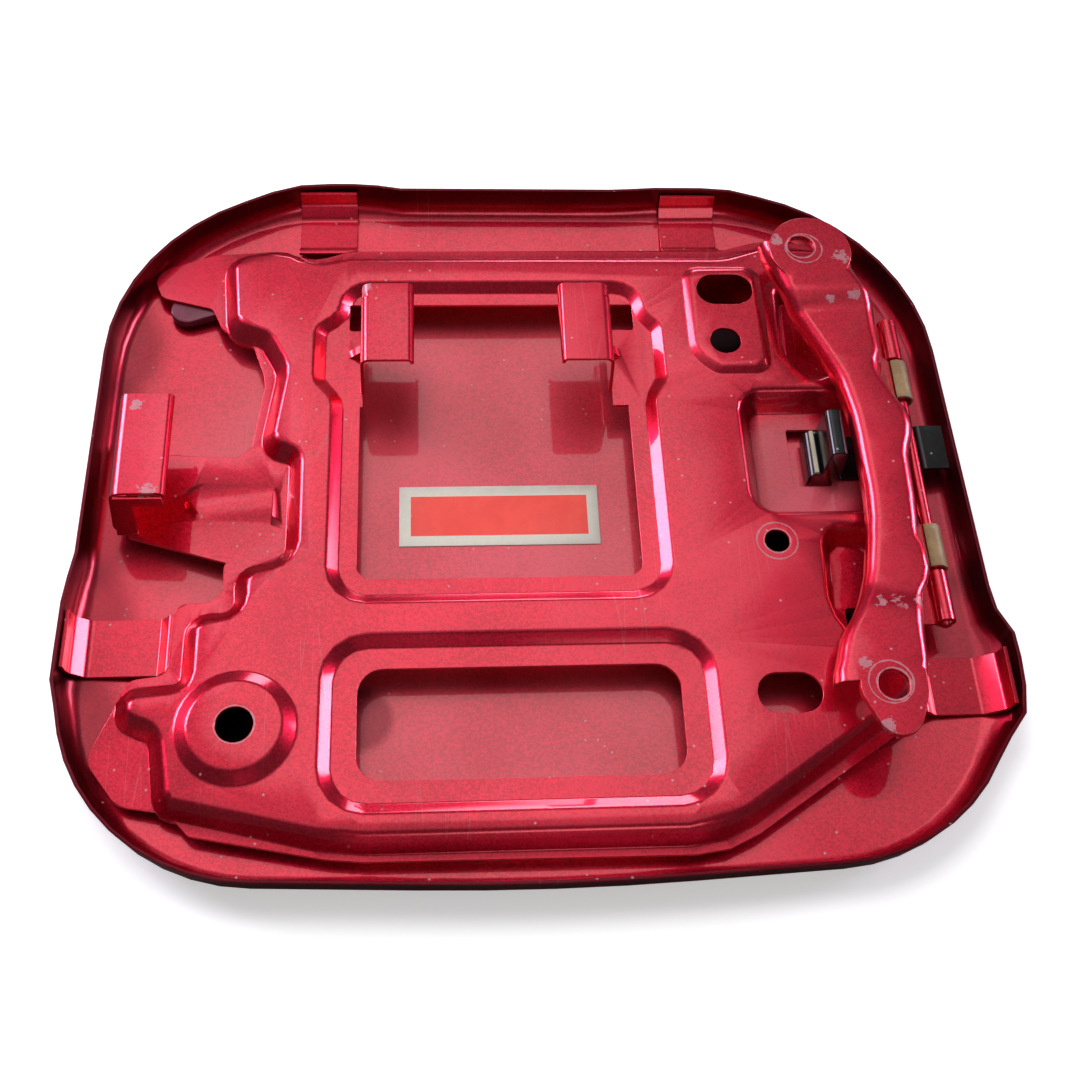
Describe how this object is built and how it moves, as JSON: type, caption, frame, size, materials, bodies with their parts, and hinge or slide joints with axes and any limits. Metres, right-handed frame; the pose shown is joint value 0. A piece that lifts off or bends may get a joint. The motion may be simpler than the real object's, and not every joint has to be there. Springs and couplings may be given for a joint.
{
  "type": "car fuel door",
  "caption": "Pressed steel fuel filler door: skin tray with a stamped inner panel, cap hooks, latch loop, and a hinge arm turning on a pin beside a leaf spring.",
  "frame": {"origin": "middle of the bounding box on the plane that the closed door's outer face lies on", "axes": "+X from the latch towards the hinge, +Y up the car side as pictured, +Z inward, away from the outer face"},
  "size_m": [0.2003, 0.1763, 0.022],
  "materials": {
    "paint": "glossy metallic red",
    "pin_paint": "glossy red over steel",
    "bush": "satin tan",
    "spring": "glossy black",
    "label": "silver film with a red field",
    "mastic": "painted over, satin"
  },
  "bodies": {
    "door": {"outer_skin": "paint", "inner_panel": "paint", "hinge_pin": "pin_paint", "leaf_spring": "spring", "spring_liner": "bush", "label": "label", "upper_mastic": "mastic", "lower_mastic": "mastic"},
    "arm": {"hinge_arm": "paint", "upper_bush": "bush", "lower_bush": "bush"}
  },
  "joints": [
    {"name": "door_hinge", "type": "hinge", "parent": "door", "child": "arm", "pos_m": [0.0854, 0, 0.0105], "axis": [0, 1, 0], "range_deg": [0, 95]}
  ]
}
